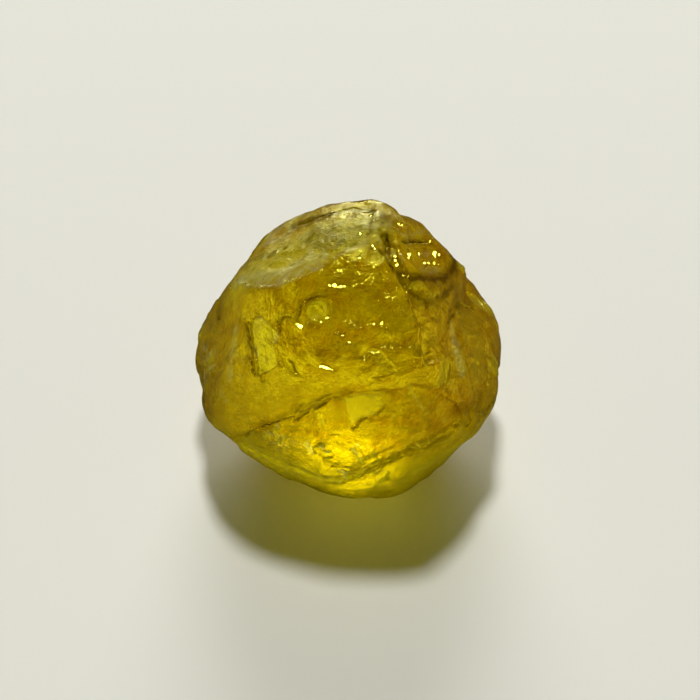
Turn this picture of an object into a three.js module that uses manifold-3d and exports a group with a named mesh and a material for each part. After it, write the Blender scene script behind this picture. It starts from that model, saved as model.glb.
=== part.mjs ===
// A rough diamond of about 1.5 carats: one uncut yellow crystal with rounded, resorbed faces.
// Units are millimetres and +Z is up. The stone lies on its one flat cleavage face, and the origin
// is the middle of its footprint, on the surface that it lies on.
//
// Places on the stone are [longitude, latitude] in degrees, seen from the stone's centre: longitude 0
// looks towards -Y, 90 towards +X, and latitude 90 straight up.
import * as THREE from "three";
import { mergeVertices } from "three/addons/utils/BufferGeometryUtils.js";
import Module from "manifold-3d";

const wasm = await Module();
wasm.setup();

// Driving dimensions, in millimetres.
const CENTRE_HEIGHT = 2.46; // of the stone's centre above its resting face
const EDGE_SHARPNESS = 12; // power of the blend between faces: a higher one gives sharper edges
const SKIN_DETAIL = 10; // subdivisions of the ball that the crystal's skin starts from
const CORE = 0.9; // where cutters start, measured from the stone's centre
const OUTSIDE = 3.8; // where cutters end, outside every face
const TOOTH_PITCH = 0.38; // length of one tooth along a broken edge
const TOOTH = 0.13; // how far the teeth of a broken edge step in and out
const FADE_START = 0.3; // share of a fade's reach over which nothing is missing yet
const STONE_YELLOW = 0xa58a08;

// The crystal's rounded faces: name, longitude, latitude and distance from the centre.
const FACES = [
  ["front left", -40, 42, 2.75],
  ["front", 12, 58, 2.82],
  ["upper left", -113, 58, 2.66],
  ["knob", 97, 43, 2.62],
  ["right lobe", 79, 18, 2.53],
  ["lower right", 30, -15, 2.65],
  ["lower front", -4, 5, 2.57],
  ["lower left", -29, -12, 2.56],
  ["left", -85, 19, 2.53],
  ["back right", 130, 19, 2.82],
  ["back left", -139, 21, 2.78],
  ["back", 177, 33, 2.75],
  ["back waist", -176, -7, 2.78],
  ["under front", -9, -39, 2.83],
  ["under right", 81, -47, 2.81],
  ["under left", -70, -54, 2.65],
  ["under back right", 145, -42, 2.81],
  ["under back left", -145, -44, 2.8],
  ["underside", 0, -90, 2.75],
];

// Smooth valleys (a positive depth) and swellings (a negative one) along a line over the skin.
const FOLDS = [
  {
    name: "lobe valley",
    depth: 0.2,
    width: 0.26,
    line: [[106, 18], [98, 24], [76, 31], [58, 31], [45, 22]],
  },
  { name: "lobe crest", depth: -0.1, width: 0.5, line: [[98, 4], [80, 12], [62, 8]] },
  { name: "lobe shoulder", depth: -0.06, width: 0.34, line: [[106, 6], [96, 9]] },
  { name: "dome ridge", depth: -0.07, width: 0.32, line: [[70, 76], [46, 65], [40, 50], [33, 38]] },
  {
    name: "upper ridge",
    depth: -0.06,
    width: 0.3,
    line: [[-98, 33], [-74, 46], [-55, 58], [-36, 69], [0, 80]],
  },
  { name: "knob bowl", depth: 0.09, width: 0.4, line: [[92, 56], [104, 52]] },
  { name: "knob shoulder", depth: -0.1, width: 0.3, line: [[116, 28], [112, 38]] },
  { name: "dome dimple", depth: 0.08, width: 0.45, line: [[4, 52], [16, 44]] },
  { name: "back trough", depth: 0.14, width: 0.35, line: [[150, 52], [168, 22], [162, -6]] },
  { name: "back swell", depth: -0.08, width: 0.6, line: [[-160, 4], [-132, -10]] },
  { name: "left trough", depth: 0.1, width: 0.35, line: [[-118, 34], [-108, 6], [-88, -16]] },
  { name: "under trough", depth: 0.1, width: 0.4, line: [[20, -40], [52, -30], [84, -22]] },
];

// Growth layers that are missing from the skin: each is a patch lowered by depth, with broken edges.
// A layer with a fade thins out to nothing at that place, and is whole from the given distance on.
const TERRACES = [
  {
    name: "upper left scoop",
    depth: 0.12,
    fade: [-150, 40, 2.2],
    outline: [
      [-101, 30], [-96, 37], [-76, 49], [-61, 57], [-53, 63], [-38, 71], [-26, 77], [2, 82], [46, 82],
      [99, 82], [150, 72], [172, 58], [-168, 42], [-146, 31], [-122, 27],
    ],
  },
  {
    name: "upper left second step",
    depth: 0.16,
    fade: [-132, 44, 1.2],
    outline: [[-104, 44], [-84, 57], [-70, 66], [-88, 72], [-130, 70], [-150, 58], [-136, 44], [-118, 38]],
  },
  {
    name: "recess beside the dome",
    depth: 0.15,
    fade: [80, 37, 1.1],
    outline: [
      [90, 78], [58, 73], [47, 65], [44, 56], [39, 46], [35, 39], [33, 33], [41, 31], [48, 33], [58, 37],
      [74, 36], [92, 31], [97, 36], [84, 44], [66, 50], [56, 60], [62, 68], [88, 73],
    ],
  },
  {
    name: "lower front step",
    depth: 0.12,
    fade: [-74, -34, 0.5],
    outline: [
      [-62, -24], [-51, -14], [-39, -3], [-28, 8], [-21, 14], [-14, 19], [-6, 22], [5, 25], [16, 26],
      [26, 27], [36, 23], [44, 12], [50, -3], [41, -8], [31, -10], [22, -9], [12, -13], [5, -19],
      [-4, -27], [-16, -31], [-31, -28], [-47, -26],
    ],
  },
  {
    name: "step below the plate",
    depth: 0.16,
    fade: [34, 24, 0.9],
    outline: [
      [16, 25], [27, 24], [35, 19], [41, 8], [45, -4], [31, -8], [21, -7], [11, -11], [3, -18],
      [-9, -18], [-14, -10], [-7, 1], [-2, 5], [3, 11], [10, 14], [15, 19],
    ],
  },
  {
    name: "lower left chips",
    depth: 0.15,
    fade: [-30, -19, 0.6],
    outline: [[-42, -10], [-30, -1], [-24, -2], [-22, -9], [-27, -16], [-38, -18]],
  },
  {
    name: "left plate",
    depth: 0.07,
    fade: [-38, 38, 0.9],
    outline: [[-63, 38], [-54, 34], [-46, 28], [-38, 34], [-38, 43], [-45, 48], [-54, 47], [-62, 42]],
  },
  {
    name: "left edge layer",
    depth: 0.07,
    fade: [-96, 4, 1.1],
    outline: [[-98, 24], [-86, 31], [-75, 26], [-68, 14], [-71, 2], [-84, -4], [-96, 2]],
  },
  {
    name: "knob top layer",
    depth: 0.08,
    fade: [140, 42, 1.0],
    outline: [[96, 66], [124, 62], [150, 60], [158, 46], [138, 40], [120, 46], [104, 56]],
  },
  {
    name: "right lobe layer",
    depth: 0.08,
    fade: [84, -12, 0.9],
    outline: [[62, 20], [74, 22], [84, 10], [82, -8], [70, -16], [60, -6], [58, 8]],
  },
  {
    name: "back layer",
    depth: 0.12,
    fade: [-165, 42, 1.3],
    outline: [[172, 46], [-166, 44], [-150, 26], [-158, 6], [176, -6], [158, 8], [156, 34]],
  },
  {
    name: "back second layer",
    depth: 0.18,
    fade: [-168, 34, 1.0],
    outline: [[176, 34], [-172, 34], [-160, 20], [-172, 6], [172, 10], [168, 26]],
  },
  {
    name: "back right layer",
    depth: 0.11,
    fade: [116, 4, 1.0],
    outline: [[114, 36], [140, 40], [152, 20], [144, -6], [122, -10], [108, 8]],
  },
  {
    name: "back left layer",
    depth: 0.1,
    fade: [-146, -14, 1.2],
    outline: [[-150, 28], [-128, 34], [-112, 18], [-116, -10], [-136, -22], [-156, -8]],
  },
  {
    name: "left belly layer",
    depth: 0.12,
    fade: [-78, -14, 1.1],
    outline: [[-96, -10], [-70, -4], [-56, -22], [-62, -46], [-90, -50], [-106, -28]],
  },
  {
    name: "under front layer",
    depth: 0.1,
    fade: [-16, -56, 0.9],
    outline: [[-34, -36], [-8, -33], [16, -32], [28, -44], [4, -62], [-30, -58]],
  },
  {
    name: "right belly layer",
    depth: 0.12,
    fade: [108, -44, 1.0],
    outline: [[62, -24], [90, -12], [116, -20], [116, -48], [84, -56], [58, -42]],
  },
  {
    name: "back belly layer",
    depth: 0.12,
    fade: [168, -52, 1.1],
    outline: [[136, -18], [166, -10], [-164, -20], [-166, -48], [162, -58], [134, -44]],
  },
  {
    name: "back left belly layer",
    depth: 0.1,
    fade: [-128, -50, 1.0],
    outline: [[-152, -26], [-128, -20], [-108, -34], [-112, -54], [-140, -58], [-158, -44]],
  },
];

// Flat-floored etch pits with few sides: longitude, latitude, width, depth, sides and turn in degrees.
const PITS = [
  ["dome box", -24, 56, 0.5, 0.1, 4, 20],
  ["dome box corner", -33, 52, 0.2, 0.16, 3, 70],
  ["dome glint", -3, 66, 0.24, 0.1, 3, 10],
  ["dome fleck", 16, 55, 0.2, 0.1, 3, 40],
  ["dome low pit", 8, 42, 0.34, 0.11, 3, 15],
  ["dome low fleck", 20, 45, 0.26, 0.13, 4, 50],
  ["dome left notch", -41, 46, 0.16, 0.13, 4, 35],
  ["dome tip pit", 88, 86, 0.2, 0.1, 3, 30],
  ["knob pit", 100, 60, 0.3, 0.12, 4, 10],
  ["knob small pit", 84, 62, 0.2, 0.12, 3, 25],
  ["knob edge pit", 116, 55, 0.22, 0.1, 4, 40],
  ["recess pit", 58, 56, 0.26, 0.12, 4, 15],
  ["recess low pit", 68, 42, 0.3, 0.12, 3, 55],
  ["lobe pit", 66, 14, 0.28, 0.1, 3, 5],
  ["lobe low pit", 54, -8, 0.32, 0.12, 4, 25],
  ["front chip", -13, -5, 0.3, 0.24, 4, 30],
  ["front second chip", -5, -14, 0.24, 0.26, 4, 45],
  ["lower left chip", -33, -8, 0.2, 0.22, 4, 10],
  ["lower band pit", 16, -26, 0.3, 0.12, 4, 20],
  ["left pit", -82, 2, 0.28, 0.12, 3, 0],
  ["upper pit", -112, 58, 0.34, 0.24, 3, 20],
  ["upper small pit", -80, 72, 0.24, 0.22, 3, 50],
  ["back pit", -150, 12, 0.4, 0.16, 3, 30],
  ["back small pit", 150, 44, 0.3, 0.13, 3, 0],
  ["back low pit", 176, -24, 0.34, 0.2, 3, 15],
  ["right belly pit", 96, -30, 0.36, 0.18, 3, 45],
  ["left belly pit", -84, -30, 0.34, 0.18, 3, 25],
  ["under pit", 30, -58, 0.34, 0.12, 3, 10],
];

// Cracks that reach the skin: a line over it, the widest opening and how deep it goes.
const CRACKS = [
  {
    name: "main crack",
    width: 0.09,
    depth: 0.5,
    line: [[-57, -21], [-50, -14], [-39, -3], [-28, 8], [-20, 14]],
  },
  {
    name: "main crack tail",
    width: 0.07,
    depth: 0.4,
    line: [[-23, 11], [-14, 19], [-6, 22], [5, 25], [16, 27]],
  },
  {
    name: "lower crack",
    width: 0.1,
    depth: 0.45,
    line: [[5, -19], [11, -14], [18, -11], [25, -9], [33, -10], [43, -8]],
  },
  { name: "dome crack", width: 0.06, depth: 0.3, line: [[-31, 36], [-25, 32], [-20, 27]] },
  { name: "knob line", width: 0.05, depth: 0.25, line: [[95, 70], [108, 62], [121, 50]] },
  { name: "knob slot", width: 0.16, depth: 0.3, line: [[96, 79], [77, 76], [56, 71]] },
  { name: "left groove", width: 0.08, depth: 0.22, line: [[-66, 40], [-58, 35], [-50, 31]] },
  { name: "top edge crack", width: 0.06, depth: 0.3, line: [[-146, 55], [-164, 61], [178, 67], [150, 66]] },
  { name: "right crack", width: 0.06, depth: 0.35, line: [[36, 18], [44, 6], [48, -6]] },
  { name: "back crack", width: 0.08, depth: 0.5, line: [[120, -6], [140, -10], [160, -8], [178, -2]] },
  { name: "left back crack", width: 0.07, depth: 0.45, line: [[-104, 22], [-122, 10], [-144, 4]] },
];

// A number from 0 to 1 that is always the same for the same seed.
function chance(seed) {
  const wave = Math.sin(seed * 127.1 + 311.7) * 43758.5453;
  return wave - Math.floor(wave);
}

function direction([longitude, latitude]) {
  const around = THREE.MathUtils.degToRad(longitude);
  const above = THREE.MathUtils.degToRad(latitude);
  const flat = Math.cos(above);
  return new THREE.Vector3(Math.sin(around) * flat, -Math.cos(around) * flat, Math.sin(above));
}

const faceNormals = FACES.map(([, longitude, latitude]) => direction([longitude, latitude]));
const foldLines = FOLDS.map(({ line }) => line.map(direction));

// Distance from the centre to the faces, blended so that their edges are round.
function facedRadius(towards) {
  let blend = 0;
  FACES.forEach(([, , , distance], i) => {
    const reach = towards.dot(faceNormals[i]) / distance;
    if (reach > 0) blend += reach ** EDGE_SHARPNESS;
  });
  return blend ** (-1 / EDGE_SHARPNESS);
}

// Distance over the unit ball from a direction to a line of directions.
function distanceToLine(towards, line) {
  const piece = new THREE.Line3();
  const nearest = new THREE.Vector3();
  let least = Infinity;
  for (let i = 1; i < line.length; i++) {
    piece.set(line[i - 1], line[i]).closestPointToPoint(towards, true, nearest);
    least = Math.min(least, nearest.normalize().distanceTo(towards));
  }
  return least;
}

function skinRadius(towards) {
  const faced = facedRadius(towards);
  const sunk = FOLDS.reduce((sum, { depth, width }, i) => {
    const away = (distanceToLine(towards, foldLines[i]) * faced) / width;
    return sum + depth * Math.exp(-away * away);
  }, 0);
  return faced - sunk;
}

// A closed geometry as a manifold-3d solid.
function solid(geometry) {
  geometry.deleteAttribute("normal");
  geometry.deleteAttribute("uv");
  const merged = mergeVertices(geometry, 1e-5);
  return new wasm.Manifold(
    new wasm.Mesh({
      numProp: 3,
      vertProperties: merged.getAttribute("position").array,
      triVerts: new Uint32Array(merged.index.array),
    }),
  );
}

// The share of a terrace's depth that is left near the place where it fades out, below 0 at that place.
function fadeShare(towards, fade) {
  if (!fade) return 1;
  const [longitude, latitude, reach] = fade;
  const away = towards.distanceTo(direction([longitude, latitude])) * CENTRE_HEIGHT;
  return Math.min(1, away / reach - FADE_START);
}

// The crystal's skin, lowered by depth.
function stone(depth = 0, fade = null) {
  const ball = new THREE.IcosahedronGeometry(1, SKIN_DETAIL);
  const position = ball.getAttribute("position");
  const towards = new THREE.Vector3();
  for (let i = 0; i < position.count; i++) {
    towards.fromBufferAttribute(position, i).normalize();
    towards.multiplyScalar(skinRadius(towards) - depth * fadeShare(towards, fade));
    position.setXYZ(i, towards.x, towards.y, towards.z);
  }
  return solid(ball);
}

// A beam that widens from the stone's centre through an outline of directions, between two distances.
function beam(outline, near, far) {
  const middle = outline.reduce((sum, towards) => sum.add(towards), new THREE.Vector3()).normalize();
  const upright = new THREE.Quaternion().setFromUnitVectors(middle, new THREE.Vector3(0, 0, 1));
  const shape = new THREE.Shape(
    outline.map((towards) => {
      const local = towards.clone().applyQuaternion(upright);
      return new THREE.Vector2(local.x / local.z, local.y / local.z);
    }),
  );
  const geometry = new THREE.ExtrudeGeometry(shape, { depth: 1, bevelEnabled: false });
  const position = geometry.getAttribute("position");
  for (let i = 0; i < position.count; i++) {
    const reach = position.getZ(i) > 0.5 ? far : near;
    position.setXYZ(i, position.getX(i) * reach, position.getY(i) * reach, reach);
  }
  return solid(geometry.applyQuaternion(upright.invert()));
}

// The same outline with broken edges: short teeth that step in and out across each side.
function hackled(outline, seed) {
  const corners = outline.map(direction);
  return corners.flatMap((corner, i) => {
    const next = corners[(i + 1) % corners.length];
    const steps = Math.max(1, Math.round((corner.distanceTo(next) * CENTRE_HEIGHT) / TOOTH_PITCH));
    const across = corner.clone().cross(next).normalize();
    return Array.from({ length: steps }, (_, step) => {
      const shift = step ? ((chance(seed + i * 7.3 + step * 1.9) - 0.5) * TOOTH) / CENTRE_HEIGHT : 0;
      return corner.clone().lerp(next, step / steps).addScaledVector(across, shift).normalize();
    });
  });
}

function terraceCutter({ depth, fade, outline }, index) {
  return beam(hackled(outline, index), CORE, OUTSIDE).subtract(stone(depth, fade));
}

// A pit that narrows towards its flat floor.
function pitCutter([, longitude, latitude, width, depth, sides, turn]) {
  const towards = direction([longitude, latitude]);
  const top = 0.2;
  const pit = new THREE.CylinderGeometry(width * 0.62, width * 0.36, depth + top, sides);
  pit.rotateY(THREE.MathUtils.degToRad(turn));
  pit.translate(0, (top - depth) / 2, 0);
  pit.applyQuaternion(new THREE.Quaternion().setFromUnitVectors(new THREE.Vector3(0, 1, 0), towards));
  pit.translate(...towards.clone().multiplyScalar(skinRadius(towards)).toArray());
  return solid(pit);
}

// A slot along a line, widest where it starts and closed at its end.
function crackCutter({ line, width, depth }) {
  const centres = line.map(direction);
  const sides = centres.map((centre, i) => {
    const ahead = centres[Math.min(i + 1, centres.length - 1)];
    const behind = centres[Math.max(i - 1, 0)];
    const share = i / (centres.length - 1);
    const half = (width / 2 / CENTRE_HEIGHT) * Math.sin(Math.PI * (0.12 + 0.86 * share)) ** 0.7;
    return ahead.clone().sub(behind).cross(centre).setLength(half);
  });
  const left = centres.map((centre, i) => centre.clone().add(sides[i]).normalize());
  const right = centres.map((centre, i) => centre.clone().sub(sides[i]).normalize());
  const floor = Math.min(...centres.map(skinRadius)) - depth;
  return beam([...left, ...right.reverse()], floor, OUTSIDE);
}

const cutters = [...TERRACES.map(terraceCutter), ...PITS.map(pitCutter), ...CRACKS.map(crackCutter)];
let crystal = cutters.reduce((left, cutter) => left.subtract(cutter), stone());

// The flat cleavage face that the stone lies on.
const below = new THREE.BoxGeometry(4 * OUTSIDE, 4 * OUTSIDE, OUTSIDE);
below.translate(0, 0, -CENTRE_HEIGHT - OUTSIDE / 2);
crystal = crystal.subtract(solid(below));

const { vertProperties, triVerts } = crystal.getMesh();
const geometry = new THREE.BufferGeometry();
geometry.setAttribute("position", new THREE.BufferAttribute(vertProperties, 3));
geometry.setIndex(new THREE.BufferAttribute(triVerts, 1));
geometry.computeBoundingBox();
const middle = geometry.boundingBox.getCenter(new THREE.Vector3());
geometry.translate(-middle.x, -middle.y, CENTRE_HEIGHT);
geometry.computeVertexNormals();

const diamond = new THREE.Mesh(
  geometry,
  new THREE.MeshStandardMaterial({ color: STONE_YELLOW, roughness: 0.2, metalness: 0 }),
);
diamond.name = "rough_diamond";

const roughDiamond = new THREE.Group();
roughDiamond.add(diamond);

export default roughDiamond;
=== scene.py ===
import math

import bmesh
import bpy
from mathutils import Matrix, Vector, kdtree, noise
from mathutils.bvhtree import BVHTree


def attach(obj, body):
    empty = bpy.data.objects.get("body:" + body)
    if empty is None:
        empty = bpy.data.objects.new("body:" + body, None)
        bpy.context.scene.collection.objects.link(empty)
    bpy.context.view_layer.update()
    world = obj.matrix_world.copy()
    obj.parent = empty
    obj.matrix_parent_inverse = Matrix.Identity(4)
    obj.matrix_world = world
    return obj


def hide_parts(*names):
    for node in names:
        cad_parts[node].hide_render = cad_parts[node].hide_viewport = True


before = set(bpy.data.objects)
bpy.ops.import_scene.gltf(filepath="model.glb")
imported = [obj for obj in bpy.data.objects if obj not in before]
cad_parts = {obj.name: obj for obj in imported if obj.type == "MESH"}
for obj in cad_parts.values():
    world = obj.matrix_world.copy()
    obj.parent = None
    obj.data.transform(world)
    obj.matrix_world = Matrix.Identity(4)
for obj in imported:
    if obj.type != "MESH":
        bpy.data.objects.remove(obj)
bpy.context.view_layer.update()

# A rough yellow diamond on a plain pale floor. Lengths are millimetres, angles are degrees.
MM = 0.001
CENTRE = Vector((0.003, -0.145, 2.46))  # the middle of the stone, which all views look at

# The main view: the camera's height above the floor's plane, its distance and its long lens.
CAMERA_ELEVATION = 43.0
CAMERA_DISTANCE = 60.0
CAMERA_REACH = (1, 10000)
LENS_MM = 158.9
SENSOR_MM = 36.0
FRAME_SHIFT = 1 / 700

# The skin's mesh: even faces, cut finer near the marks and finer again near the front's.
SKIN_GRID = 0.057
SKIN_SMOOTHINGS = 2
SKIN_GROWTH = 0.05  # what the skin gains over the plain solid, before its hollows take it back
FINE_REACH = 0.075
FINER_REACH = 0.036
MERGE_DISTANCE_M = 1e-7

# The etched skin's relief: size, height and seed of its swellings, hillocks and grain.
SWELLINGS = (0.9, 0.03, 3)
HILLOCKS = (0.45, 0.04, 7)
GRAIN = (0.16, 0.008, 11)

# How marks follow their lines and outlines.
MARK_STEP = 0.015  # spacing of the points that a line is followed by
STRAY = 0.014  # how far a line strays to both sides
STRAY_LENGTH = 0.09  # and over what length it does
SAME_SPOT = 0.15  # a vertex further than this from the skin that shows there is hidden

CRACK_TIP = 0.45  # the share of a crack's width that is left at its tips
CRACK_UNEVENNESS, CRACK_LUMPS = 0.45, 0.07  # how much its width varies, and over what length
CRACK_REACH = 1.5  # how many half widths from its line it may reach
CRACK_STAIN_AND_SHADE_EDGE = 1.8
CRACK_TAPER, LEDGE_TAPER = 0.1, 0.15  # over what length they run out at their ends
PLATE_EDGE = 0.03  # width of a plate's sloping edge
PIT_WALLS = (0, 120, 240)

# Cleavage flats all lie one way in a crystal, so they flash together.
CLEAVAGE_FACING = (0, 75.5)
CHIP_DEPTH = 0.20  # how far a chip may cut into the skin
CHIP_RISE = 0.045  # and how far it may stand out of it
CHIP_EDGE = 0.012
CHIP_RIM = 0.3  # width of a small chip's soft rim, as a share of its radius
LEAST_SLOPE = 0.3

# What each point of the skin carries for its material: its stain carries painted shade too, and its
# clearness painted glow.
SKIN_VALUES = ("frost", "stain_and_shade", "clear_and_glow", "flat", "dull")

# How these fade out at a mark's edge: unevenness, size of the lumps, sharpness.
SHADE_EDGES = {
    "frost": (0.4, 0.12, 1.5),
    "stain_and_shade": (0.35, 0.16, 1.3),
    "clear_and_glow": (0.3, 0.06, 1.8),
    "dull": (0.5, 0.2, 1.2),
}


# -------------------- marks on the front
# Places are to the right of and above the middle of the stone, as the camera sees it. The tables
# give them in hundredths of a millimetre, and all else in millimetres.


def in_mm(places):
    """A place, or places, from hundredths of a millimetre."""
    return tuple(map(in_mm, places)) if isinstance(places, tuple) else places / 100


def rows(*marks):
    """Marks that each end in their place or places."""
    return tuple((*mark[:-1], in_mm(mark[-1])) for mark in marks)


# Broad swellings and hollows: height, radius, place.
BULGES = rows(
    (0.14, 0.8, (-272, 0)), (0.06, 0.6, (-250, 100)), (-0.16, 0.9, (-130, 225)),
    (-0.09, 0.8, (10, 270)), (0.07, 0.7, (-245, -110)), (0.16, 0.9, (265, -60)),
    (0.05, 0.7, (275, 10)), (0.06, 0.7, (60, -265)), (-0.24, 0.5, (238, 120)),
    (-0.04, 0.35, (105, 142)),
)

# Where the skin is dull and finely etched: half width, strength, line.
DULL = rows(
    (0.9, 0.9, ((-130, 220), (-40, 240), (10, 240))),
    (0.5, 1.0, ((-10, 240), (20, 215), (50, 210), (52, 250))),
    (0.14, 0.45, ((-284, -50), (-274, -15), (-280, 10))),
    (0.3, 0.8, ((-120, 255), (-60, 268), (0, 280), (60, 282), (100, 260))),
    (0.5, 0.8, ((-220, 160), (-170, 162), (-125, 164))),
    (0.42, 0.9, ((-135, 158), (-95, 174), (-62, 192))),
)

# Plates, which stand out or lie deeper and are clearer and lighter than the skin around them, with
# painted glow, or darker, with painted shade, where glow_and_shade is negative: height, glow and
# shade, rise for each millimetre downwards, outline.
PLATES = rows(
    (0.0, -0.32, 0.0, ((76, -80), (130, -74), (175, -95), (160, -150), (95, -172), (30, -172),
        (8, -156), (26, -136), (52, -132), (74, -106))),
    (0.0, -0.22, 0.0, ((-36, 110), (-34, 72), (-10, 40), (30, 50), (45, 95), (10, 120))),
    (0.0, -0.3, 0.0, ((120, 100), (155, 70), (195, 72), (205, 110), (180, 130), (130, 134))),
    (-0.02, -0.25, 0.0, ((202, -100), (230, -102), (250, -110), (235, -145), (210, -150))),
    (0.0, -0.1, 0.0, ((-190, -162), (-100, -133), (-50, -110), (0, -87), (2, -152), (30, -175),
        (90, -210), (60, -230), (-40, -240), (-150, -205))),
    (0.02, 0.85, 0.0, ((-10, -92), (0, -86), (30, -83), (50, -80), (60, -77), (66, -92), (72, -102),
        (68, -108), (58, -112), (50, -128), (26, -130), (14, -140), (2, -150))),
    (-0.06, 1.0, 0.0, ((-84, 72), (-83, 88), (-76, 95), (-57, 101), (-42, 96), (-40, 80), (-47, 62),
        (-60, 56), (-78, 62))),
    (-0.03, 1.0, 0.0, ((-193, 55), (-186, 66), (-170, 68), (-160, 56), (-142, 42), (-136, 28),
        (-148, 10), (-142, -5), (-140, -30), (-155, -40), (-180, -50), (-184, -10), (-192, 15))),
    (-0.02, 0.6, 0.0, ((176, 2), (184, -6), (194, -16), (198, -30), (195, -55), (190, -66),
        (170, -76), (160, -80), (166, -60), (174, -40), (178, -20))),
    (-0.02, 0.45, 0.0, ((36, 2), (50, 6), (62, 2), (72, -10), (90, -30), (95, -42), (75, -50),
        (40, -55), (52, -30), (48, -10))),
    (0.02, 1.0, 0.0, ((56, -80), (64, -79), (73, -104), (66, -109))),
    (-0.012, 0.6, 0.0, ((-66, -126), (-50, -120), (-44, -146), (-58, -150))),
    (0.015, 0.9, 0.5, ((-177, -165), (-158, -154), (-150, -168), (-162, -180))),
    (0.015, 0.9, 0.5, ((-156, -153), (-139, -143), (-131, -154), (-142, -166))),
    (0.015, 0.9, 0.5, ((-148, -170), (-128, -160), (-120, -178), (-136, -188))),
    (0.015, 0.9, 0.4, ((-134, -190), (-118, -180), (-112, -194), (-120, -202))),
    (0.02, 1.0, 0.2, ((-92.4, -179), (-79, -172), (-61, -201), (-73, -203.5))),
    (0.015, 0.9, 0.15, ((-54, -183), (-45, -193), (-29.5, -191.5), (-38, -202), (-51.5, -201))),
    (0.02, 1.0, 0.2, ((-24, -233.5), (-10.5, -228), (1.5, -236), (-2.3, -250), (-16, -247))),
    (0.01, 0.9, 0.4, ((0, -190), (10, -184), (33, -219), (26, -226), (14, -212))),
    (-0.01, 0.6, 0.1, ((13, -183), (24, -180), (44, -213), (37, -218))),
    (0.01, 0.9, 0.15, ((28, -180), (42, -184), (56, -208), (47, -214))),
    (0.015, 0.8, 0.15, ((44, -236), (69, -228), (80, -236), (71, -247), (52, -255))),
    (0.015, 0.7, 0.3, ((-144, -203), (-120, -206), (-106, -225), (-133, -220))),
)

# Clear, lighter streaks of painted glow, which let more light out: half width, strength, line.
CLEAR_GLOW_STREAKS = rows(
    (0.75, 0.8, ((-210, 140), (-140, 180), (-70, 215), (20, 240))),
    (0.7, 0.25, ((-240, -100), (-160, -95), (-120, -90))),
    (0.6, 0.3, ((-150, -195), (-80, -205), (0, -220), (60, -235))),
    (0.38, 0.9, ((-190, -198), (-100, -242), (0, -270), (100, -258), (190, -202))),
    (0.06, 0.9, ((-106, -236), (-50, -260), (14, -276), (70, -272), (112, -262))),
    (0.45, 0.25, ((230, 70), (250, 0), (245, -60))),
    (0.05, 0.8, ((-22, -24), (-17, -16), (-5, -10))), (0.04, 0.6, ((24, -12), (29, -2), (34, 12))),
    (0.05, 0.8, ((61, 0), (66, -10), (68, -18))), (0.05, 0.45, ((70, -46), (78, -34), (86, -24))),
    (0.05, 0.5, ((36, 78), (37, 70))), (0.05, 0.55, ((42, 89), (44, 86))),
    (0.04, 0.5, ((40, 48), (41, 42))), (0.035, 0.35, ((74, 26), (78, 36))),
    (0.09, 0.4, ((118, 64), (114, 42))), (0.06, 0.4, ((137, 70), (144, 56))),
    (0.06, 0.3, ((136, 98), (134, 84))), (0.05, 0.35, ((164, 106), (176, 118))),
    (0.03, 0.7, ((152, -18), (153, -32))), (0.03, 0.45, ((199, 45), (201, 20))),
    (0.03, 0.45, ((190, 18), (193, 4))), (0.04, 0.4, ((210, 0), (212, -14))),
    (0.08, 0.3, ((220, 130), (220, 90), (230, 60))), (0.06, 0.3, ((234, 48), (238, 38))),
    (0.03, 0.8, ((116, -72), (128, -86), (136, -100), (150, -120))),
    (0.04, 0.7, ((172, -88), (164, -99))), (0.04, 0.4, ((215, -95), (222, -97))),
    (0.05, 0.4, ((78, -136), (90, -130))), (0.04, 0.6, ((-20, 126), (0, 122), (12, 128))),
    (0.04, 0.6, ((-48, 62), (-40, 66), (-34, 70))), (0.03, 0.4, ((-78, -18), (-70, -18))),
    (0.03, 0.35, ((-50, 7), (-46, 8))), (0.04, 0.55, ((-180, -40), (-160, -20))),
    (0.05, 0.5, ((-186, 14), (-183, -6))), (0.05, 0.45, ((-192, 76), (-188, 68))),
    (0.04, 0.45, ((-210, 64), (-200, 60))), (0.06, 0.35, ((-136, -18), (-128, -22))),
    (0.05, 0.35, ((-119, 76), (-116, 70))), (0.06, 0.35, ((-222, 28), (-220, 16))),
    (0.05, 0.45, ((-195, -98), (-192, -94), (-164, -92))), (0.05, 0.35, ((-70, -80), (-60, -82))),
    (0.04, 0.6, ((-74, -112), (-62, -104), (-54, -102))),
    (0.04, 0.6, ((14, -138), (26, -129), (44, -128))),
    (0.05, 0.5, ((-34, -158), (-20, -160), (-12, -163))), (0.05, 0.6, ((-58, -134), (-54, -142))),
    (0.06, 0.5, ((44, -246), (54, -234), (64, -230), (76, -234))),
    (0.05, 0.45, ((12, -262), (24, -266))), (0.05, 0.45, ((-90, -236), (-78, -236))),
    (0.05, 0.45, ((-120, -220), (-106, -222))),
)
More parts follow.
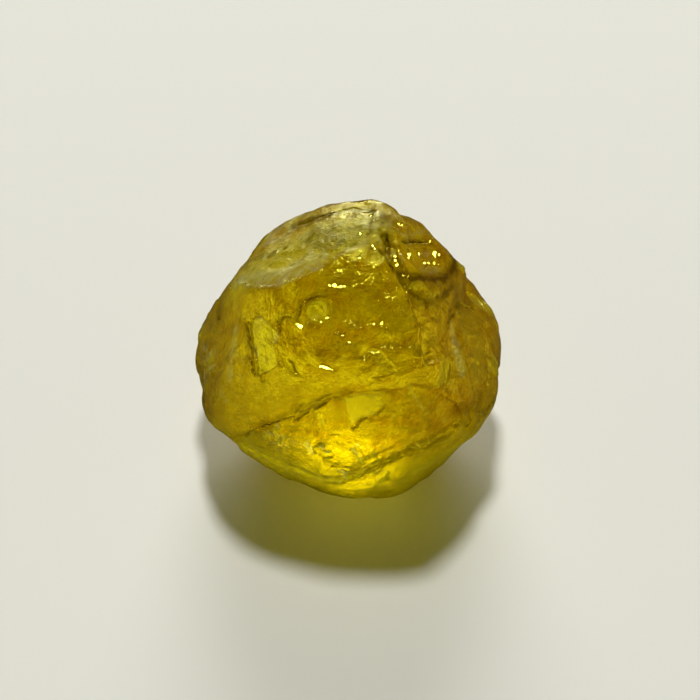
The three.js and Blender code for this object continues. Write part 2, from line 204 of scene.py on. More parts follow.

# Open cracks and sharp inner corners: half width, depth, brown staining that also paints shade in
# the groove, line.
CRACKS = rows(
    (0.03, 0.05, 0.6, ((-242, -176), (-216, -169))),
    (0.08, 0.18, 1.0, ((-216, -169), (-208, -166), (-197, -162))),
    (0.034, 0.07, 0.85, ((-200, -162), (-184, -154), (-168, -149), (-150, -144), (-134, -135))),
    (0.042, 0.08, 0.9, ((-140, -138), (-128, -133), (-116, -130), (-100, -128))),
    (0.032, 0.05, 0.75, ((-106, -129), (-99, -117), (-94, -108), (-86, -102))),
    (0.03, 0.05, 0.7, ((-112, -133), (-102, -136), (-90, -127), (-80, -121), (-72, -113))),
    (0.036, 0.06, 0.8, ((-76, -113), (-66, -116), (-58, -111), (-48, -106), (-40, -100))),
    (0.028, 0.04, 0.65, ((-80, -106), (-64, -99), (-52, -93), (-40, -86), (-28, -84))),
    (0.028, 0.04, 0.6, ((-44, -102), (-32, -94), (-14, -88))),
    (0.024, 0.03, 0.5, ((-18, -89), (0, -84), (28, -81.5), (52, -77), (78, -73.5))),
    (0.034, 0.05, 0.75, ((2, -156), (15, -148), (22, -139), (32, -134.5), (42, -137), (50, -131))),
    (0.026, 0.03, 0.6, ((50, -131), (56, -124), (66, -114), (76, -103))),
    (0.024, 0.03, 0.45, ((60, -78), (65.5, -92), (71, -100))),
    (0.03, 0.03, 0.5, ((24, -241), (33, -231), (46, -225), (60, -220.5), (74, -216), (92, -212))),
    (0.045, 0.08, 1.0, ((74, -210), (79, -207), (84, -206))),
    (0.026, 0.03, 0.5, ((84, -204), (95, -196), (102, -197), (116, -195.5))),
    (0.024, 0.025, 0.45, ((92, -211), (102, -205), (114, -202), (126, -195))),
    (0.045, 0.05, 0.8, ((131, -192), (138, -190))),
    (0.026, 0.03, 0.5, ((136, -191), (148, -188), (162, -180), (178, -170), (192, -162))),
    (0.04, 0.07, 0.8, ((-200, 54), (-199, 44), (-198.5, 34))),
    (0.032, 0.06, 0.75, ((-198.5, 38), (-195.5, 26), (-195, 14), (-191, 6), (-186, 0))),
    (0.034, 0.05, 0.55, ((-196, -10), (-190, -20), (-188, -34), (-183, -50))),
    (0.024, 0.04, 0.6, ((-208, 60), (-207, 54), (-206, 50))),
    (0.03, 0.05, 0.7, ((-110, 66), (-122, 67), (-130, 62), (-135, 50), (-135.5, 30))),
    (0.034, 0.06, 0.75, ((-101, 62), (-96.5, 74), (-93, 88), (-89, 96))),
    (0.028, 0.05, 0.7, ((-90, 96), (-76, 101), (-62, 105.5), (-44, 109))),
    (0.024, 0.04, 0.45, ((-44, 98), (-37, 86), (-34, 74))),
    (0.03, 0.05, 0.7, ((-118, -16), (-111, -25), (-107, -36), (-104, -43), (-97, -46))),
    (0.034, 0.05, 0.8, ((-93, -59), (-91, -64))),
    (0.034, 0.09, 1.0, ((100, 212.5), (118, 211.5), (134, 212.5), (154, 211))),
    (0.05, 0.09, 0.9, ((71, 230), (73, 214), (77, 194))),
    (0.034, 0.06, 0.7, ((56, 201), (70, 184), (86, 156), (107, 126), (120, 92), (133, 58))),
    (0.034, 0.05, 0.7, ((-102, 245), (-84, 250), (-72, 254), (-48, 263), (-22, 270))),
    (0.028, 0.04, 0.6, ((-26, 269), (-8, 275), (10, 280), (30, 277.5))),
    (0.032, 0.05, 0.7, ((28, 271), (36, 273), (46, 276), (60, 277))),
    (0.026, 0.04, 0.7, ((38, 200), (43, 198.5), (48, 196.5))),
    (0.028, 0.03, 0.8, ((-186, -184), (-176, -186), (-166, -191), (-150, -196))),
    (0.03, 0.03, 0.8, ((-52, -203), (-44, -207), (-36, -206), (-26, -198))),
    (0.024, 0.03, 0.7, ((-38, -161), (-30, -164), (-20, -163.5), (-12, -164))),
    (0.03, 0.03, 0.8, ((-40, -230), (-34, -224), (-30, -223), (-24, -230))),
    (0.026, 0.03, 0.55, ((74, -121), (84, -118), (92, -116.5), (100, -114))),
    (0.022, 0.03, 0.45, ((116, -127), (122, -125), (124, -120))),
    (0.024, 0.03, 0.5, ((144, -137), (152, -135))),
    (0.03, 0.03, 0.55, ((222, -150), (232, -144), (237, -134), (238, -122), (243, -110))),
    (0.026, 0.03, 0.45, ((205, -124), (203, -114), (206, -105), (222, -102), (242, -103))),
    (0.026, 0.04, 0.5, ((184, 18), (187, 11), (185, 3))),
    (0.03, 0.03, 0.5, ((148, 99), (151, 92), (150, 84))),
    (0.04, 0.04, 0.55, ((114, 116), (117, 122), (124, 130))),
    (0.03, 0.03, 0.45, ((157, 115), (166, 119))),
    (0.03, 0.03, 0.45, ((170, 102), (178, 109))),
    (0.03, 0.04, 0.45, ((-228, 94), (-227, 88))),
    (0.024, 0.03, 0.45, ((-22, 0), (-26, -12), (-30, -22))),
    (0.022, 0.03, 0.4, ((46, 26), (48, 10))),
)

# Soft brown darkening of the skin: stain, and painted shade in its hollows and less lit parts: half
# width, strength, line.
STAINS_AND_SHADE = rows(
    (0.3, 0.55, ((98, 146), (130, 144), (170, 144), (200, 130))),
    (0.12, 0.65, ((72, 224), (70, 205), (74, 185), (88, 160), (98, 150))),
    (0.12, 0.5, ((110, 212), (152, 211))),
    (0.13, 0.75, ((-110, 242), (-80, 253), (-40, 264), (10, 276), (50, 274))),
    (0.1, 0.45, ((-210, 162), (-190, 176), (-160, 182), (-120, 198))),
    (0.2, 0.6, ((-80, 220), (-62, 204), (-40, 200))),
    (0.18, 0.9, ((92, 152), (120, 140), (150, 142), (180, 140), (202, 156), (208, 180))),
    (0.15, 0.8, ((100, 140), (124, 112), (150, 95), (185, 105), (202, 130))),
    (0.1, 0.6, ((209, 160), (208, 120), (203, 64))),
    (0.14, 0.55, ((84, 200), (82, 170), (98, 150))), (0.1, 0.3, ((42, 200), (50, 194))),
    (0.55, 0.55, ((-60, 230), (-10, 215), (30, 235), (50, 260))), (0.3, 0.3, ((0, 75), (50, 75))),
    (0.16, 0.35, ((-85, -5), (-55, -10), (-30, -14))),
    (0.25, 0.3, ((85, -95), (120, -110), (160, -105))),
    (0.25, 0.25, ((145, -55), (140, -10), (160, 20))),
    (0.14, 0.4, ((-30, 102), (-26, 80), (-30, 70))),
    (0.1, 0.6, ((-102, 62), (-95, 90), (-70, 105), (-45, 108))),
    (0.1, 0.55, ((-198, 50), (-196, 20), (-188, 0))), (0.08, 0.5, ((-138, 62), (-136, 34))),
    (0.12, 0.6, ((114, 114), (120, 126))), (0.1, 0.55, ((150, 96), (150, 84))),
    (0.1, 0.5, ((228, 90), (234, 80))), (0.4, 0.45, ((100, 142), (150, 140), (195, 125))),
    (0.32, 0.45, ((120, 115), (160, 102), (190, 85))), (0.28, 0.35, ((160, 75), (190, 50))),
    (0.5, 0.4, ((-20, 145), (40, 115), (85, 60))),
    (0.1, 0.4, ((-190, -148), (-150, -136), (-120, -122))),
    (0.17, 0.5, ((-100, -116), (-70, -102), (-35, -90), (0, -80))),
    (0.15, 0.4, ((60, -216), (90, -204), (120, -193), (150, -182), (190, -166))),
    (0.24, 0.4, ((208, -112), (235, -115), (255, -98))),
    (0.09, 0.45, ((-204, 50), (-202, 20), (-196, -2))), (0.1, 0.35, ((-200, -8), (-192, -40))),
    (0.08, 0.4, ((-130, 70), (-138, 40))),
    (0.1, 0.4, ((-106, 60), (-98, 90), (-70, 110), (-40, 116))),
    (0.09, 0.5, ((-106, 240), (-50, 259), (0, 272), (50, 272))),
    (0.1, 0.5, ((72, 228), (74, 200), (80, 175), (95, 150))),
    (0.16, 0.3, ((-75, 220), (-65, 205), (-40, 200))),
    (0.2, 0.35, ((10, 262), (45, 262), (60, 240))),
    (0.09, 0.3, ((-202, 174), (-160, 186), (-120, 208))), (0.1, 0.3, ((-212, 160), (-196, 162))),
    (0.14, 0.3, ((144, 10), (150, -30))), (0.12, 0.25, ((-105, -20), (-85, -8), (-65, -5))),
    (0.1, 0.35, ((10, -156), (40, -142), (70, -114))), (0.12, 0.3, ((24, -244), (40, -232))),
)

# Ledges: height, how far the low side takes to come back, line. The low side is on the right
# of someone who walks along the line, looking at the stone from outside.
LEDGES = rows(
    (0.06, 0.3, ((-230, -172), (-200, -162), (-150, -144), (-104, -129), (-60, -108), (-28, -92))),
    (0.045, 0.25, ((75, -103), (68, -112), (50, -131), (26, -137), (2, -156))),
    (0.025, 0.2, ((114, -202), (92, -210), (55, -222), (24, -241))),
    (0.04, 0.16, ((-183, -50), (-192, 8), (-200, 54))), (0.03, 0.12, ((-135.5, 30), (-128, 65))),
)

# Frosted streaks and patches: half width, strength, line.
FROST = rows(
    (0.2, 0.75, ((-210, 142), (-160, 146), (-120, 150))),
    (0.14, 0.85, ((-130, 152), (-100, 170), (-72, 188))),
    (0.09, 0.7, ((-70, 158), (-52, 178), (-46, 190))),
    (0.05, 0.7, ((-86, 226), (-74, 236), (-60, 242))),
    (0.26, 0.5, ((-220, 138), (-170, 140), (-125, 138))),
    (0.22, 0.55, ((-125, 145), (-95, 162), (-60, 180))), (0.14, 0.4, ((-60, 166), (-46, 184))),
    (0.06, 0.9, ((-114, 163), (-100, 174), (-86, 184))),
    (0.05, 0.8, ((-102, 148), (-86, 156), (-68, 168))),
    (0.04, 0.8, ((-100, 215), (-92, 222), (-86, 227))), (0.09, 0.35, ((-82, 228), (-72, 236))),
    (0.035, 0.8, ((-156, 180), (-145, 187))), (0.05, 0.4, ((-192, 162), (-176, 169))),
    (0.035, 0.6, ((0, 238), (13, 245))), (0.13, 0.3, ((-36, 254), (-20, 246))),
    (0.1, 0.3, ((-40, 226), (-14, 220))), (0.05, 0.55, ((-12, 200), (-4, 195), (2, 200))),
    (0.16, 0.4, ((-160, 210), (-125, 218), (-110, 235))), (0.1, 0.55, ((-286, 6), (-274, 8))),
    (0.1, 0.55, ((-286, -20), (-270, -8), (-260, 0))),
    (0.06, 0.55, ((-284, -46), (-272, -34), (-260, -24))), (0.08, 0.45, ((-284, -56), (-280, -62))),
    (0.05, 0.4, ((-225, -14), (-218, -8))), (0.06, 0.45, ((-242, -98), (-234, -98))),
    (0.09, 0.2, ((-250, -76), (-244, -86))), (0.07, 0.35, ((-182, 58), (-172, 64))),
    (0.04, 0.55, ((-166, 55), (-160, 56))), (0.09, 0.4, ((-152, 36), (-142, 30), (-146, 20))),
    (0.05, 0.5, ((-187, 36), (-182, 38))), (0.04, 0.5, ((-184, 10), (-182, -8))),
    (0.04, 0.4, ((-170, -20), (-156, -16))), (0.1, 0.3, ((-162, -164), (-148, -162), (-132, -168))),
    (0.1, 0.3, ((-150, -180), (-134, -182), (-122, -184))),
    (0.05, 0.7, ((-140, -190), (-132, -196))), (0.05, 0.7, ((-144, -147), (-136, -146))),
    (0.045, 0.7, ((-124, -168), (-114, -172))), (0.04, 0.75, ((-108, -178), (-100, -179))),
    (0.07, 0.8, ((-82, -178), (-76, -188), (-70, -196))),
    (0.04, 0.6, ((-92, -182), (-80, -190), (-76, -202))), (0.045, 0.8, ((-54, -186), (-48, -192))),
    (0.03, 0.8, ((-46, -198), (-32, -194))), (0.06, 0.8, ((-20, -232), (-6, -234))),
    (0.05, 0.7, ((-6, -238), (-8, -248))), (0.04, 0.7, ((15, -182), (20, -188))),
    (0.05, 0.45, ((6, -190), (18, -204))), (0.1, 0.22, ((55, 262), (80, 266), (100, 258))),
    (0.05, 0.4, ((93, 234), (105, 225), (130, 228), (150, 234))),
    (0.1, 0.3, ((144, 156), (160, 156), (174, 160))), (0.07, 0.3, ((102, 186), (104, 172))),
    (0.06, 0.3, ((146, 186), (156, 192))), (0.05, 0.35, ((56, 217), (62, 214))),
    (0.025, 0.35, ((122, -78), (132, -94), (140, -106), (148, -118))),
)

# Flat chips along the cleavage: outline.
FLATS = in_mm((
    ((145, 160), (154, 170), (156, 176), (162, 176), (164, 170), (178, 165), (170, 163),
        (156, 166)),
    ((163, 190), (166, 195), (170, 193), (170, 187), (179, 183), (166, 181)),
    ((84, 182), (88, 187), (93, 185), (91, 180)),
    ((83, 175), (88, 178), (95, 176), (96, 172), (88, 172)),
    ((90, 167), (93, 170), (96, 167), (93, 163)),
    ((110, 184), (114, 188), (121, 188), (119, 184)),
    ((-37, 126), (-30, 132), (-25, 129), (-16, 128), (-9, 126), (-16, 123), (-28, 124)),
    ((-107, 52), (-101, 55.5), (-91, 54), (-87, 49), (-89, 44), (-95, 39), (-98.5, 44)),
    ((-62, -29), (-50, -24), (-42, -28), (-34, -33), (-25, -35), (-22, -39.5), (-40, -41),
        (-47, -36.5), (-58, -36)),
))

# Small flat chips: radius, place.
CHIPS = rows(
    (0.03, (0, 17)), (0.025, (-13, 30)), (0.03, (48, 53)), (0.03, (63, 54)), (0.045, (-28, 127)),
    (0.035, (-15, 125)), (0.03, (-9, 126)), (0.03, (-38, 127)), (0.035, (159, 173)),
    (0.045, (155, 169)), (0.045, (164, 169)), (0.04, (172, 166)), (0.035, (146, 171)),
    (0.04, (167, 191)), (0.035, (173, 185)), (0.03, (136, 189)), (0.035, (116, 187)),
    (0.03, (116, 181)), (0.03, (90, 184)), (0.03, (90, 176)), (0.03, (93, 167)), (0.03, (41, 265)),
    (0.025, (50, 256)), (0.028, (22, 229)), (0.028, (21, 181)), (0.032, (47, 204)),
    (0.028, (50, 199)), (0.028, (97, 247)), (0.028, (104, 245)), (0.025, (156, 212)),
    (0.03, (-42, 65)), (0.025, (-54, 56)),
)

# The sides and the back: longitude and latitude of a look at each, then its marks as above, and
# its three-sided etch pits: depth, radius, turn, place.
SIDES = {
    (90, 8): {
        "plates": rows(
            (-0.03, 0.6, 0.1, ((60, 30), (100, 42), (115, 5), (80, -20), (58, 0))),
            (0.02, 0.5, 0.1, ((-70, -20), (-30, -10), (-25, -50), (-60, -62))),
            (0.02, 0.7, 0.1, ((70, 130), (100, 142), (108, 110), (80, 102))),
        ),
        "stains": rows(
            (0.3, 0.35, ((-100, 145), (-20, 115), (50, 60))),
            (0.2, 0.4, ((-120, -95), (0, -110), (70, -130))), (0.35, 0.25, ((120, -80), (160, 10))),
        ),
        "cracks": rows(
            (0.04, 0.07, 0.8, ((-95, 135), (-55, 110), (-20, 102), (30, 70))),
            (0.032, 0.05, 0.6, ((24, 74), (45, 35), (52, 0), (40, -30))),
            (0.036, 0.06, 0.7, ((-120, -90), (-60, -110), (5, -102), (60, -125))),
        ),
        "pits": rows(
            (0.05, 0.14, 20, (5, 20)), (0.035, 0.08, 20, (-25, 45)), (0.04, 0.1, 20, (15, -55)),
            (0.03, 0.07, 20, (-90, 10)), (0.04, 0.11, 20, (125, -60)),
        ),
        "frost": rows(
            (0.14, 0.6, ((-160, 60), (-120, 90), (-70, 110))), (0.1, 0.6, ((90, 120), (130, 80))),
            (0.12, 0.5, ((-40, -160), (30, -170))),
        ),
    },
    (180, 20): {
        "plates": rows(
            (-0.04, 0.6, 0.1, ((30, 20), (75, 36), (98, 2), (80, -26), (40, -20))),
            (0.02, 0.6, 0.1, ((-90, -10), (-50, 5), (-36, -30), (-72, -50))),
            (0.02, 0.7, 0.1, ((-20, -110), (12, -100), (20, -140), (-10, -150))),
            (-0.02, 0.5, 0.1, ((130, 90), (162, 80), (158, 42), (128, 50))),
        ),
        "stains": rows(
            (0.25, 0.35, ((-170, 45), (-100, 66), (-30, 90))),
            (0.22, 0.4, ((10, -62), (80, -105), (150, -145))),
            (0.5, 0.25, ((-60, 160), (20, 170), (90, 150))),
        ),
        "cracks": rows(
            (0.04, 0.08, 0.85, ((-170, 40), (-120, 62), (-75, 58), (-30, 85))),
            (0.03, 0.05, 0.6, ((-36, 82), (0, 70), (40, 78), (90, 62))),
            (0.034, 0.06, 0.75, ((10, -60), (50, -95), (90, -105), (140, -140))),
            (0.028, 0.04, 0.5, ((-120, -80), (-90, -130), (-84, -170))),
        ),
        "pits": rows(
            (0.055, 0.15, 45, (-10, 20)), (0.035, 0.09, 45, (-45, 36)), (0.04, 0.1, 45, (10, -25)),
            (0.03, 0.07, 45, (120, -30)), (0.045, 0.12, 45, (-145, -30)),
            (0.035, 0.08, 45, (30, 130)),
        ),
        "frost": rows(
            (0.16, 0.6, ((60, 150), (110, 130), (160, 120))),
            (0.1, 0.55, ((-200, -20), (-170, -60), (-150, -100))),
            (0.08, 0.6, ((-30, -170), (20, -185))), (0.12, 0.45, ((-100, 130), (-60, 150))),
        ),
    },
    (270, 8): {
        "plates": rows(
            (-0.03, 0.6, 0.1, ((-70, 90), (-30, 100), (-10, 70), (-40, 50), (-72, 60))),
            (0.02, 0.6, 0.1, ((10, -20), (45, -10), (50, -50), (15, -60))),
            (0.02, 0.6, 0.1, ((-120, -70), (-90, -60), (-80, -95), (-112, -102))),
        ),
        "stains": rows(
            (0.25, 0.35, ((-150, -15), (-80, 15), (-20, 40))),
            (0.22, 0.4, ((-50, -122), (30, -112), (110, -110))),
            (0.35, 0.25, ((80, 120), (120, 60))),
        ),
        "cracks": rows(
            (0.036, 0.07, 0.8, ((-150, -20), (-105, 10), (-60, 5), (-20, 32))),
            (0.03, 0.05, 0.6, ((30, 95), (60, 60), (68, 20), (95, -15))),
            (0.034, 0.06, 0.7, ((-50, -120), (0, -105), (50, -120), (100, -105))),
        ),
        "pits": rows(
            (0.05, 0.13, 70, (0, 30)), (0.035, 0.08, 70, (28, 52)), (0.04, 0.1, 70, (-35, -30)),
            (0.03, 0.07, 70, (120, -50)), (0.035, 0.09, 70, (-100, 45)),
        ),
        "frost": rows(
            (0.14, 0.6, ((90, 110), (130, 70), (160, 40))), (0.1, 0.55, ((-160, 70), (-120, 100))),
            (0.1, 0.55, ((-20, -160), (40, -175))),
        ),
    },
}


# -------------------- places on the stone


def direction(longitude, latitude):
    """Unit vector to a place on the stone: longitude 0 looks to -Y, 90 to +X, latitude 90 is up."""
    around, above = math.radians(longitude), math.radians(latitude)
    flat = math.cos(above)
    return Vector((math.sin(around) * flat, -math.cos(around) * flat, math.sin(above)))


class View:
    """A look at the stone, in which places are millimetres to the right of and above its middle."""

    def __init__(self, longitude, latitude):
        self.back = direction(longitude, latitude)
        self.right = Vector((0, 0, 1)).cross(self.back).normalized()
        self.up = self.back.cross(self.right)
        self.eye = CENTRE + self.back * CAMERA_DISTANCE

    def point(self, form, place):
        """The point of the skin that shows at a place of this view."""
        aim = CENTRE + self.right * place[0] + self.up * place[1]
        return form.ray_cast(self.eye, (aim - self.eye).normalized())[0]

    def place(self, point):
        """The place of this view at which a point shows."""
        ray = point - self.eye
        flat = self.eye - CENTRE - ray * (CAMERA_DISTANCE / ray.dot(self.back))
        return flat.dot(self.right), flat.dot(self.up)


FRONT = View(0, CAMERA_ELEVATION)


def stray(place, seed):
    """A mark's line strays a little to both sides, as a crack does."""
    spot = Vector((*place, seed)) / STRAY_LENGTH
    aside, along = noise.noise(spot), noise.noise(spot + Vector((40, 0, 0)))
    return place[0] + STRAY * aside, place[1] + STRAY * along


def follow(form, view, line, seed):
    """Points of the skin along a line of a view, closely spaced."""
    path = []
    for start, end in zip(line, line[1:]):
        steps = max(1, round(math.dist(start, end) / MARK_STEP))
        for step in range(steps):
            place = Vector(start).lerp(Vector(end), step / steps)
            point = view.point(form, stray(place, seed))
            if point:
                path.append(point)
    return path


def depth_inside(outline, place):
    """How far a place lies inside an outline, or 0 where it lies outside."""
    inside = False
    nearest = math.inf
    for start, end in zip(outline, closed(outline)[1:]):
        run, rise = end[0] - start[0], end[1] - start[1]
        right, up = place[0] - start[0], place[1] - start[1]
        share = min(1, max(0, (right * run + up * rise) / (run * run + rise * rise)))
        nearest = min(nearest, math.dist(place, (start[0] + run * share, start[1] + rise * share)))
        if (start[1] > place[1]) != (end[1] > place[1]):
            if place[0] < start[0] + run * up / rise:
                inside = not inside
    return nearest if inside else 0


def closed(outline):
    return outline + outline[:1]


def outline_middle(outline):
    """Halfway between an outline's first corner and the one across from it."""
    return Vector(outline[0]).lerp(Vector(outline[len(outline) // 2]), 0.5)


def points_tree(points):
    tree = kdtree.KDTree(len(points))
    for index, point in enumerate(points):
        tree.insert(point, index)
    tree.balance()
    return tree


def lumps(place, size, seed):
    """Smooth noise from -1 to 1 with lumps of about the given size."""
    return noise.noise(place / size + Vector((seed, 2.3 * seed, 5.1 * seed)))


def etched_relief(place):
    """Height of the resorbed skin's low swellings and hillocks."""
    swelling, hillock, grain = (
        lumps(place, size, seed) * height for size, height, seed in (SWELLINGS, HILLOCKS, GRAIN)
    )
    return swelling - abs(hillock) + grain


# -------------------- the crystal's skin


def grow(skin):
    """Moves the solid's skin outwards a little, and in or out at its bulges."""
    form = BVHTree.FromBMesh(skin)
    middles = [(height, radius, FRONT.point(form, place)) for height, radius, place in BULGES]
    for vert in skin.verts:
        out = SKIN_GROWTH
        for height, radius, middle in middles:
            distance = min(radius, (vert.co - middle).length)
            out += height * (0.5 + 0.5 * math.cos(math.pi * distance / radius))
        vert.co += (vert.co - CENTRE).normalized() * out
        vert.co.z = max(vert.co.z, 0)


def even_skin():
    """The stone's solid as one closed mesh of even small faces, in millimetres."""
    skin = bmesh.new()
    skin.from_mesh(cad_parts["rough_diamond"].data)
    bmesh.ops.remove_doubles(skin, verts=skin.verts, dist=MERGE_DISTANCE_M)
    bmesh.ops.scale(skin, vec=(1 / MM, 1 / MM, 1 / MM), verts=skin.verts)
    grow(skin)
    mesh = bpy.data.meshes.new("even skin")
    skin.to_mesh(mesh)
    skin.free()
    form = bpy.data.objects.new("even skin", mesh)
    bpy.context.scene.collection.objects.link(form)
    remesh = form.modifiers.new("even skin", "REMESH")
    remesh.mode = "VOXEL"
    remesh.voxel_size = SKIN_GRID
    shown = form.evaluated_get(bpy.context.evaluated_depsgraph_get())
    even = bmesh.new()
    even.from_mesh(shown.to_mesh())
    shown.to_mesh_clear()
    bpy.data.objects.remove(form)
    bpy.data.meshes.remove(mesh)
    for _ in range(SKIN_SMOOTHINGS):
        bmesh.ops.smooth_vert(
            even, verts=even.verts, factor=0.5, use_axis_x=True, use_axis_y=True, use_axis_z=True
        )
    return even


def cut_finer(skin, points, reach):
    """Splits the faces that lie near any of the points in four."""
    marks = points_tree(points)
    near = [face for face in skin.faces if marks.find(face.calc_center_median())[2] < reach]
    edges = dict.fromkeys(edge for face in near for edge in face.edges)
    bmesh.ops.subdivide_edges(skin, edges=list(edges), cuts=1, use_grid_fill=True)


def finer_skin(mesh, form):
    """Cuts the skin finer where its marks are."""

    def along(view, lines):
        return [p for seed, line in enumerate(lines) for p in follow(form, view, line, seed)]

    lines = [mark[-1] for mark in CRACKS]
    lines += [closed(mark[-1]) for mark in PLATES if mark[0]]
    lines += [closed(outline) for outline in FLATS]
    front = along(FRONT, lines)
    front += [FRONT.point(form, place) for _, place in CHIPS]
    front += [FRONT.point(form, outline_middle(outline)) for outline in FLATS]
    sides = []
    for facing, marks in SIDES.items():
        view = View(*facing)
        lines = [mark[-1] for mark in marks["cracks"]]
        lines += [closed(mark[-1]) for mark in marks["plates"]]
        sides += along(view, lines)
        for _, radius, _, place in marks["pits"]:
            middle = view.point(form, place)
            sides.append(middle)
            sides += [middle + view.back.cross(direction(wall, 0)) * radius for wall in PIT_WALLS]
    cut_finer(mesh, front + sides, FINE_REACH)
    cut_finer(mesh, front, FINER_REACH)


class Skin:
    """The skin while its marks are made: each vertex's height, frosting, staining and painted
    shade, painted glow and so on.
    """

    def __init__(self, mesh, form):
        self.mesh = mesh
        self.form = form
        mesh.verts.ensure_lookup_table()
        mesh.normal_update()
        self.at = [v.co.copy() for v in mesh.verts]
        self.facing = [v.normal.copy() for v in mesh.verts]
        self.height = [etched_relief(place) for place in self.at]
        self.values = {name: [0.0] * len(self.at) for name in SKIN_VALUES}
        self.tree = points_tree(self.at)
        self.places = {}

    def near(self, path, reach):
        """Each vertex within reach of a path, with its distance and the path's nearest point."""
        found = {}
        for step, point in enumerate(path):
            for _, index, distance in self.tree.find_range(point, reach):
                if index not in found or distance < found[index][0]:
                    found[index] = (distance, step)
        return found

    def within(self, view, outline, seed):
        """Each vertex that shows inside an outline of a view, how far inside, and its place."""
        if view not in self.places:
            self.places[view] = [
                (index, view.place(at))
                for index, at in enumerate(self.at)
                if self.facing[index].dot(view.back) > 0
            ]
        rights, ups = zip(*outline)
        left, right, low, high = min(rights), max(rights), min(ups), max(ups)
        for index, place in self.places[view]:
            if left < place[0] < right and low < place[1] < high:
                depth = depth_inside(outline, stray(place, seed))
                shown = view.point(self.form, place) if depth > 0 else None
                if shown and (shown - self.at[index]).length < SAME_SPOT:
                    yield index, depth, place

    def shade(self, name, view, marks):
        """Raises one of the skin's values along lines, with an uneven edge."""
        unevenness, size, sharpness = SHADE_EDGES[name]
        values = self.values[name]
        for seed, (half_width, strength, line) in enumerate(marks):
            path = follow(self.form, view, line, seed)
            for index, (distance, _) in self.near(path, half_width).items():
                edge = 1 - distance / half_width + unevenness * lumps(self.at[index], size, seed)
                values[index] = max(values[index], strength * min(1, max(0, sharpness * edge)))

    def crack(self, view, half_width, depth, stain_and_shade, line, seed):
        """A groove that narrows to its ends and is wider and deeper here and there."""
        stains = self.values["stain_and_shade"]
        path = follow(self.form, view, line, seed)
        for index, (distance, step) in self.near(path, half_width * CRACK_REACH).items():
            ends = min(1, (min(step, len(path) - 1 - step) + 1) * MARK_STEP / CRACK_TAPER)
            width = half_width * (CRACK_TIP + (1 - CRACK_TIP) * ends)
            width *= 1 + CRACK_UNEVENNESS * lumps(path[step], CRACK_LUMPS, seed)
            profile = 1 - distance / width
            if profile > 0:
                # The brown along the groove is stain and painted shade.
                amount = stain_and_shade * min(1, CRACK_STAIN_AND_SHADE_EDGE * profile) * (0.5 + 0.5 * ends)
                self.height[index] -= depth * profile * ends
                stains[index] = max(stains[index], amount)

    def ledge(self, view, height, run, line, seed):
        """A step down along a line, from which the low side comes back slowly."""
        path = follow(self.form, view, line, seed)
        for index, (distance, step) in self.near(path, 2 * run).items():
            along = path[min(step + 1, len(path) - 1)] - path[max(step - 1, 0)]
            side = along.cross(self.at[index] - path[step]).dot(self.facing[index])
            ends = min(1, min(step, len(path) - 1 - step) * MARK_STEP / LEDGE_TAPER)
            if side < 0:
                fall = math.exp(-distance / run) * (1 - distance / (2 * run))
                self.height[index] -= height * fall * ends

    def plate(self, view, height, glow_and_shade, lean, outline, seed):
        """A flake's face inside an outline, which may lean, and is clearer with painted glow or
        darker with painted shade.
        """
        stain_and_shade, clear_and_glow = self.values["stain_and_shade"], self.values["clear_and_glow"]
        middle = outline_middle(outline)
        for index, depth, place in self.within(view, outline, seed):
            share = min(1, depth / PLATE_EDGE)
            self.height[index] += (height + lean * (middle[1] - place[1])) * share
            # Positive values lighten the plate with painted glow, negative ones darken it with
            # painted shade.
            if glow_and_shade > 0:
                stain_and_shade[index] *= 1 - share
                clear_and_glow[index] = max(clear_and_glow[index], glow_and_shade * share)
            else:
                stain_and_shade[index] = max(stain_and_shade[index], -glow_and_shade * share)

    def pit(self, view, depth, radius, turn, place):
        """A three-sided etch pit with flat walls."""
        middle = view.point(self.form, place)
        walls = [math.radians(turn + wall) for wall in PIT_WALLS]
        for _, index, _ in self.tree.find_range(middle, 2 * radius):
            offset = self.at[index] - middle
            right, up = offset.dot(view.right), offset.dot(view.up)
            out = max(right * math.cos(wall) + up * math.sin(wall) for wall in walls)
            self.height[index] -= depth * max(0, 1 - out / radius)

    def lay_flat(self, index, middle, share):
        """Brings a vertex to the cleavage plane through the middle of a chip, and cleans it."""
        plane = direction(*CLEAVAGE_FACING)
        slope = max(LEAST_SLOPE, self.facing[index].dot(plane))
        rise = (middle - self.at[index]).dot(plane) / slope
        rise = min(CHIP_RISE, max(-CHIP_DEPTH, rise))
        self.height[index] += (rise - self.height[index]) * share
        self.values["frost"][index] *= 1 - share
        self.values["stain_and_shade"][index] *= 1 - share
        self.values["flat"][index] = max(self.values["flat"][index], share)

    def raised(self, point):
        """The place to which a point of the plain skin has been moved so far."""
        _, index, _ = self.tree.find(point)
        return self.at[index] + self.facing[index] * self.height[index]

    def flat_chip(self, view, outline, seed):
        """A cleavage flat inside an outline."""
        middle = self.raised(view.point(self.form, outline_middle(outline)))
        for index, depth, _ in self.within(view, outline, seed):
            self.lay_flat(index, middle, min(1, depth / CHIP_EDGE))

    def chip(self, view, radius, place):
        """A small round cleavage flat."""
        spot = view.point(self.form, place)
        middle = self.raised(spot)
        reach = 1 + CHIP_RIM
        for _, index, distance in self.tree.find_range(spot, radius * reach):
            self.lay_flat(index, middle, min(1, (reach - distance / radius) / CHIP_RIM))

    def finish(self):
        """Moves the vertices to their heights and gives the mesh the skin's values."""
        new_layer = self.mesh.verts.layers.float.new
        layers = [(new_layer(name), values) for name, values in self.values.items()]
        for index, vert in enumerate(self.mesh.verts):
            vert.co += self.facing[index] * self.height[index]
            vert.co.z = max(vert.co.z, 0)
            for layer, values in layers:
                vert[layer] = values[index]


def make_all(make, view, marks):
    """Makes a view's marks of one kind, each with a seed of its own."""
    for seed, mark in enumerate(marks):
        make(view, *mark, seed)


